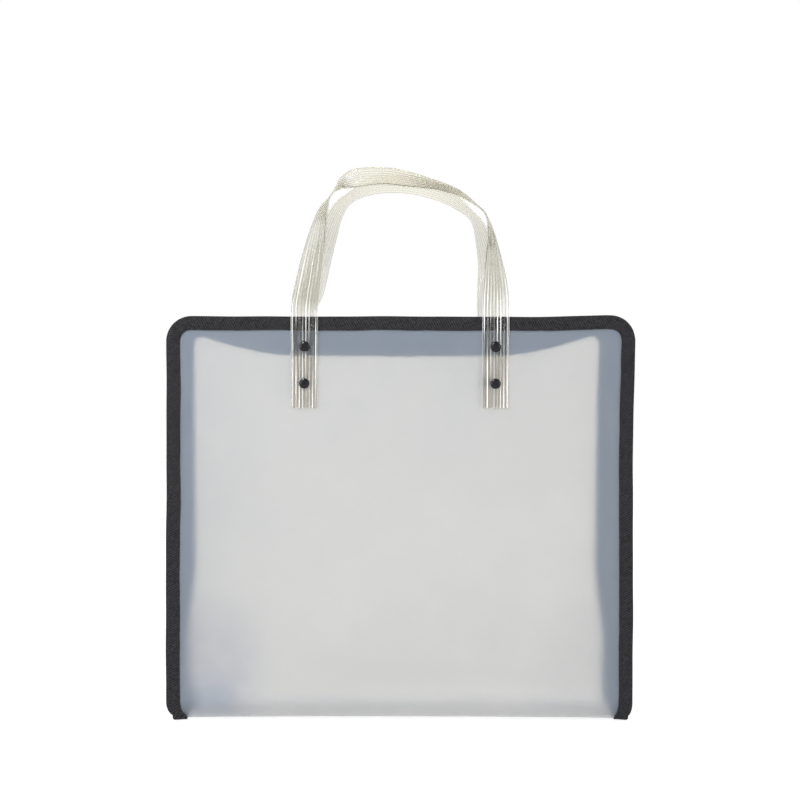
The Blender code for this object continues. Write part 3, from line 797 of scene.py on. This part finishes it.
def rounded_box(bm, centre, size, radius, segments=2):
    made = bmesh.ops.create_cube(bm, size=1.0)
    for vertex in made["verts"]:
        vertex.co = np.array(centre) + np.array(vertex.co) * np.array(size)
    edges = list({edge for vertex in made["verts"] for edge in vertex.link_edges})
    bmesh.ops.bevel(bm, geom=edges, offset=radius, segments=segments, profile=0.5, affect="EDGES")


def make_stops(half):
    """A small crimped clip at each end of a row of teeth."""
    for side, _ in SIDES:
        node = "%s_zip_stop_%s" % (half, side)
        low, high = (np.array(corner) + (ZIP_SKEW, 0, 0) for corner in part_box(node))
        size = high - low
        bm = bmesh.new()
        middle = (low + high) / 2
        rounded_box(bm, middle, size * (1.0, 1.0, 0.9), 0.0004, 3)
        for level in (-0.28, 0.28):
            rib = size * (1.12, 1.0, 0.16)
            rounded_box(bm, middle + (0, 0, level * size[2]), rib, 0.00015)
        stop = finish_mesh("zip_stop_%s_%s" % (half, side), bm, MATERIALS["slider"], 40)
        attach(stop, half + "_half")
        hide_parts(node)


# The straps

# The two handles' routes: (x, height above the swing line, twist). The places are part.py's, and the
# rear one is twisted a little less.
FRONT_ROUTE = (
    (-0.0920, 0.0014, 0), (-0.0885, 0.027, 16), (-0.0814, 0.064, 40), (-0.0740, 0.095, 64),
    (-0.0640, 0.113, 83), (-0.0460, 0.126, 43), (-0.0160, 0.129, 44), (0.0070, 0.126, 49),
    (0.0290, 0.1215, 60), (0.0480, 0.116, 67), (0.0610, 0.110, 74), (0.0800, 0.095, 84),
    (0.0862, 0.078, 73), (0.0890, 0.055, 52), (0.0912, 0.029, 26), (0.0920, 0.0014, 0))
REAR_ROUTE = (
    (-0.0955, 0.0014, 0), (-0.0870, 0.024, 15), (-0.0800, 0.050, 30), (-0.0730, 0.072, 45),
    (-0.0627, 0.099, 62), (-0.0480, 0.1150, 72), (-0.0230, 0.1260, 56), (0.0070, 0.1270, 52),
    (0.0300, 0.1220, 54), (0.0490, 0.1142, 60), (0.0670, 0.099, 80), (0.0760, 0.088, 73),
    (0.0840, 0.066, 50), (0.0882, 0.046, 32), (0.0885, 0.022, 14), (0.0885, 0.0014, 0))


def smooth_route(points, steps):
    points = [np.array(point, float) for point in points]
    before = points[1] * (1, -1, 1) + (0, 2 * points[0][1], 0)
    after = points[-2] * (1, -1, 1) + (0, 2 * points[-1][1], 0)
    ends = [before] + points + [after]
    route = []
    for a, b, c, d in zip(ends, ends[1:], ends[2:], ends[3:]):
        for step in range(steps):
            t = step / steps
            route.append(0.5 * (2 * b + (c - a) * t + (2 * a - 5 * b + 4 * c - d) * t * t
                                + (3 * b - a - 3 * c + d) * t * t * t))
    route.append(points[-1])
    return route


def leg_rows(half, x, inner):
    """Rows (middle, width direction, outwards) up one riveted leg, foot first."""
    across, _, out = half_axes(half)
    low = -(SHEET / 2 + GAP + STRAP / 2)
    high = -(SHEET / 2 + 2 * GAP + BINDING + STRAP / 2)
    top = (SWING_Z - FOLD_Z) / COS
    rows = []
    for z in np.concatenate([np.linspace(STRAP_FOOT, STRAP_BEND, 14)[:-1],
                             np.linspace(STRAP_BEND, STRAP_LIFTED, 7)[:-1],
                             np.linspace(STRAP_LIFTED, top - 0.0014, 6)]):
        y = low + (high - low) * smooth_step((z - STRAP_BEND) / (STRAP_LIFTED - STRAP_BEND))
        rows.append((half_to_world(half, x, y, z), across * inner, out))
    return rows


def make_strap(half, route):
    """One strap from foot to foot: up a leg, over the handle and down the other leg."""
    sign = -1 if half == "front" else 1
    line = smooth_route(route, 9)
    rows = leg_rows(half, route[0][0], 1)
    for i, (x, height, twist) in enumerate(line):
        if i == 0:
            ahead = np.array([0, 1.0])
        elif i == len(line) - 1:
            ahead = np.array([0, -1.0])
        else:
            ahead = (line[i + 1] - line[i - 1])[:2]
        ahead = ahead / np.linalg.norm(ahead)
        angle = math.radians(twist)
        spread = HANDLE_SPREAD * float(smooth_step(height / HANDLE_RISE))
        middle = np.array([x, sign * (SWING_Y + spread), SWING_Z + height])
        width = np.array([ahead[1] * math.cos(angle), sign * math.sin(angle), -ahead[0] * math.cos(angle)])
        forward = np.array([ahead[0], 0, ahead[1]])
        normal = np.cross(width, forward) * (1 if half == "front" else -1)
        rows.append((middle, width, normal / np.linalg.norm(normal)))
    rows += leg_rows(half, route[-1][0], -1)[::-1]
    section = strap_section()
    rings = [[middle + width * a + normal * b for a, b in section] for middle, width, normal in rows]
    strap = make_loft("strap_" + half, rings, MATERIALS["strap"], 50)
    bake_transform(strap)
    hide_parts(half + "_handle", half + "_strap_left", half + "_strap_right")


# The rivets

def add_turned(bm, centre, across, up, out, profile, turns=36):
    """Adds a profile of (radius, height) points turned about the out direction."""
    angles = np.linspace(0, 2 * math.pi, turns + 1)[:-1]
    rings = []
    for radius, height in profile:
        middle = centre + out * height
        rings.append([middle + radius * (across * math.cos(t) + up * math.sin(t)) for t in angles])
    add_loft(bm, np.array(rings))


def dome(radius, height, rim, points=9):
    """A cap's profile from its top down to its flat underside."""
    swept = [(radius * math.sin(t), rim + (height - rim) * math.cos(t) ** 0.85)
             for t in np.linspace(0.02, math.pi / 2 * 0.97, points)]
    return swept + [(radius, rim * 0.8), (radius, rim * 0.25), (radius * 0.96, 0.0)]


def make_rivets(half):
    across, up, out = half_axes(half)
    sign = -1 if half == "front" else 1
    cap_seat = SHEET / 2 + 2 * GAP + STRAP
    back_seat = SHEET / 2 + GAP
    cap_post = [(0.0018, 0), (0.0018, -cap_seat - 0.0010), (0.0008, -cap_seat - 0.0014)]
    back_post = [(0.0022, 0), (0.0022, 0.0012), (0.0008, 0.0013)]
    parts = (("cap", out, cap_seat, 0.0025, 0.0007, cap_post),
             ("back", -out, back_seat, 0.0022, 0.0006, back_post))
    for side, _ in SIDES:
        for level in ("lower", "upper"):
            low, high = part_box("%s_rivet_cap_%s_%s" % (half, side, level))
            middle = (np.array(low) + np.array(high)) / 2
            centre = half_to_world(half, middle[0], 0, (middle - (0, sign * FOLD_Y, FOLD_Z)) @ up)
            for part, facing, seat, height, rim, post in parts:
                node = "%s_rivet_%s_%s_%s" % (half, part, side, level)
                low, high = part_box(node)
                bm = bmesh.new()
                add_turned(bm, centre + facing * seat, across, up, facing,
                           dome((high[0] - low[0]) / 2, height, rim) + post)
                piece = finish_mesh("rivet_%s_%s_%s_%s" % (part, half, side, level), bm,
                                    MATERIALS["rivet"], 40)
                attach(piece, half + "_half")
                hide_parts(node)


# The zip's sliders and pulls

def outline_plate(bm, outline, low, high, bevel):
    """Adds a plate with a given outline in X and Y, between two heights, its rims rounded."""
    outline = np.array(outline)
    middle = outline.mean(axis=0)
    rings = []
    for inset, height in ((bevel, low), (bevel * 0.3, low + bevel * 0.3), (0, low + bevel),
                          (0, high - bevel), (bevel * 0.3, high - bevel * 0.3), (bevel, high)):
        reach = np.linalg.norm(outline - middle, axis=1, keepdims=True)
        shrunk = outline - (outline - middle) / reach * inset
        rings.append(np.column_stack([shrunk, np.full(len(shrunk), height)]))
    add_loft(bm, np.array(rings))


def superellipse(centre, half_x, half_y, power=3.2, taper=0.0, points=32):
    """A rounded outline, narrower towards -X by the taper."""
    shape = []
    for t in np.linspace(0, 2 * math.pi, points + 1)[:-1]:
        c, s = math.cos(t), math.sin(t)
        x = math.copysign(abs(c) ** (2 / power), c)
        y = math.copysign(abs(s) ** (2 / power), s) * (1 - taper * (1 - x) / 2)
        shape.append((centre[0] + half_x * x, centre[1] + half_y * y))
    return shape


def make_slider(side, sign):
    """Two plates joined by a neck, with an arch on top that holds the pull."""
    low, high = (np.array(corner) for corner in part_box("zip_slider_" + side))
    middle = (low + high) / 2
    half_length = (high[0] - low[0]) / 2
    half_width = (high[1] - low[1]) / 2
    zip_z = low[2] + 0.0023
    bm = bmesh.new()
    outline = superellipse((0, 0), half_length, half_width, 3.0, 0.28)
    for plate_low in (zip_z + 0.0012, zip_z - 0.0023):
        outline_plate(bm, outline, plate_low, plate_low + 0.0011, 0.0003)
    rounded_box(bm, (0.0012, 0, zip_z), (0.0055, 0.0006, 0.0030), 0.0001)
    top = zip_z + 0.0020
    arch = []
    for t in np.linspace(0, math.pi, 13):
        x = -0.0022 * math.cos(t)
        z = top + 0.0021 * math.sin(t) ** 0.7
        tangent = np.array([math.sin(t) + 1e-6, 0, math.cos(t)])
        tangent /= np.linalg.norm(tangent)
        lift = np.array([-tangent[2], 0, tangent[0]])
        arch.append([np.array([x, 0, z]) + lift * a + np.array([0, b, 0]) for a, b in ARCH_SECTION])
    add_loft(bm, np.array(arch))
    for vertex in bm.verts:
        vertex.co.x = middle[0] - sign * vertex.co.x
    slider = finish_mesh("slider_" + side, bm, MATERIALS["slider"], 40)
    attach(slider, "zip_slider_" + side)
    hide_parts("zip_slider_" + side)


def make_pull(side, sign):
    """A wire eye and a tab with a raised panel, on the slider's arch."""
    pivot = np.array(JOINTS[side + "_pull_tilt"]["pos_m"])
    pull_low, pull_high = (np.array(corner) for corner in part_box("zip_pull_" + side))
    length = pull_high[0] - pull_low[0] - 0.0006
    half_pull = (pull_high[1] - pull_low[1]) / 2
    bm = bmesh.new()
    ring = []
    for t in np.linspace(0, 2 * math.pi, 25)[:-1]:
        wire = np.array([EYE_LENGTH - EYE_LENGTH * math.cos(t), 0.0021 * math.sin(t), 0])
        normal = np.array([-math.cos(t), math.sin(t), 0])
        ring.append([wire + EYE_WIRE * (normal * math.cos(a) + np.array([0, 0, math.sin(a)]))
                     for a in np.linspace(0, 2 * math.pi, 9)[:-1]])
    add_loft(bm, np.array(ring), looped=True)
    tab_middle = (length + TAB_START) / 2
    tab_half = (length - TAB_START) / 2
    tab = superellipse((tab_middle, 0), tab_half, half_pull, 3.6, 0.25)
    outline_plate(bm, tab, -0.0006, 0.0006, 0.0002)
    panel = superellipse((tab_middle + 0.001, 0), tab_half * 0.62, half_pull * 0.55, 3.6, 0.2)
    outline_plate(bm, panel, -0.00075, 0.00075, 0.00012)
    for vertex in bm.verts:
        vertex.co.x = pivot[0] + sign * vertex.co.x
        vertex.co.z += pivot[2]
    pull = finish_mesh("pull_" + side, bm, MATERIALS["slider"], 40)
    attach(pull, "zip_pull_" + side)
    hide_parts("zip_pull_" + side)


def blend_round_fold(piece):
    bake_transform(piece)


def make_object():
    for half in HALVES:
        for maker, slot in ((make_sheet, "frosted_sheet"), (make_binding, "woven_binding")):
            piece, replaced = maker(half)
            blend_round_fold(piece)
            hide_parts(*replaced)
        stitches = make_stitches(half)
        blend_round_fold(stitches)
        make_gusset(half)
        make_teeth(half)
        make_stops(half)
        make_rivets(half)
    make_strap("front", FRONT_ROUTE)
    make_strap("rear", REAR_ROUTE)
    for side, sign in SIDES:
        make_slider(side, sign)
        make_pull(side, sign)


# Floor, lights and camera

def floor_material():
    """A light table, as small goods are photographed on."""
    made, tree, shader = new_material("studio_floor")
    tone = add_noise(tree, object_coordinates(tree), 3.0, 3.0)
    tree.links.new(add_ramp(tree, tone, ((0.3, (0.30, 0.30, 0.30)), (0.7, (0.32, 0.32, 0.32)))),
                   shader.inputs["Base Color"])
    shader.inputs["Emission Color"].default_value = (1, 1, 1, 1)
    shader.inputs["Emission Strength"].default_value = 0.80
    shader.inputs["Roughness"].default_value = 0.9
    shader.inputs["Specular IOR Level"].default_value = 0.1
    return made


def make_stage():
    bm = bmesh.new()
    bmesh.ops.create_circle(bm, cap_ends=True, segments=64, radius=2.2)
    floor = finish_mesh("studio_floor", bm, floor_material(), smooth=False)
    floor.location.z = cad_low.z - max(BUNCH.values()) - 0.0002


def make_world():
    """A white surround, less bright overhead."""
    world = bpy.data.worlds.new("studio")
    bpy.context.scene.world = world
    world.use_nodes = True
    tree = world.node_tree
    direction = add_node(tree, "ShaderNodeSeparateXYZ",
                         {0: add_node(tree, "ShaderNodeTexCoord").outputs["Generated"]})
    sky = add_ramp(tree, direction.outputs["Z"], ((0.30, (1, 1, 1)), (0.80, (0.35, 0.35, 0.35))))
    tree.links.new(sky, tree.nodes["Background"].inputs["Color"])


def make_light(name, location, target, size, power, glossy=True):
    """A soft lamp that isn't itself seen, also not through clear plastic."""
    light = bpy.data.lights.new(name, "AREA")
    light.shape = "RECTANGLE"
    light.size, light.size_y = size
    light.energy = power
    made = bpy.data.objects.new(name, light)
    bpy.context.scene.collection.objects.link(made)
    made.location = location
    direction = np.array(target) - np.array(location)
    made.rotation_euler = Vector(direction).to_track_quat("-Z", "Y").to_euler()
    made.visible_camera = False
    made.visible_glossy = glossy
    made.visible_transmission = False


def make_camera():
    """Square on to the front panel, which leans back, so the camera looks down by the same angle."""
    distance = 1.12
    aim_height = 0.3062
    view_width = 0.771
    out = half_axes("front")[2]
    aim = half_to_world("front", 0, 0, aim_height)
    camera = bpy.data.cameras.new("camera")
    camera.sensor_width = 36.0
    camera.lens = camera.sensor_width * distance / view_width
    made = bpy.data.objects.new("camera", camera)
    bpy.context.scene.collection.objects.link(made)
    made.location = aim + out * distance
    made.rotation_euler = (math.radians(90) - LEAN, math.radians(-0.12), 0)
    bpy.context.scene.camera = made


make_camera()
make_object()
make_stage()
make_world()
make_light("key", (-0.5, -0.9, 1.4), (0, 0, 0.25), (0.5, 0.5), 20.0)
make_light("left_strip", (-1.0, -1.1, 0.75), (0, 0, 0.35), (0.25, 1.2), 7.0)
make_light("right_strip", (1.15, -1.0, 0.70), (0, 0, 0.35), (0.25, 1.2), 5.0)
make_light("rear", (0.5, 1.3, 1.2), (0, 0, 0.25), (0.9, 0.9), 12.0, glossy=False)
bpy.context.scene.view_settings.view_transform = "Standard"
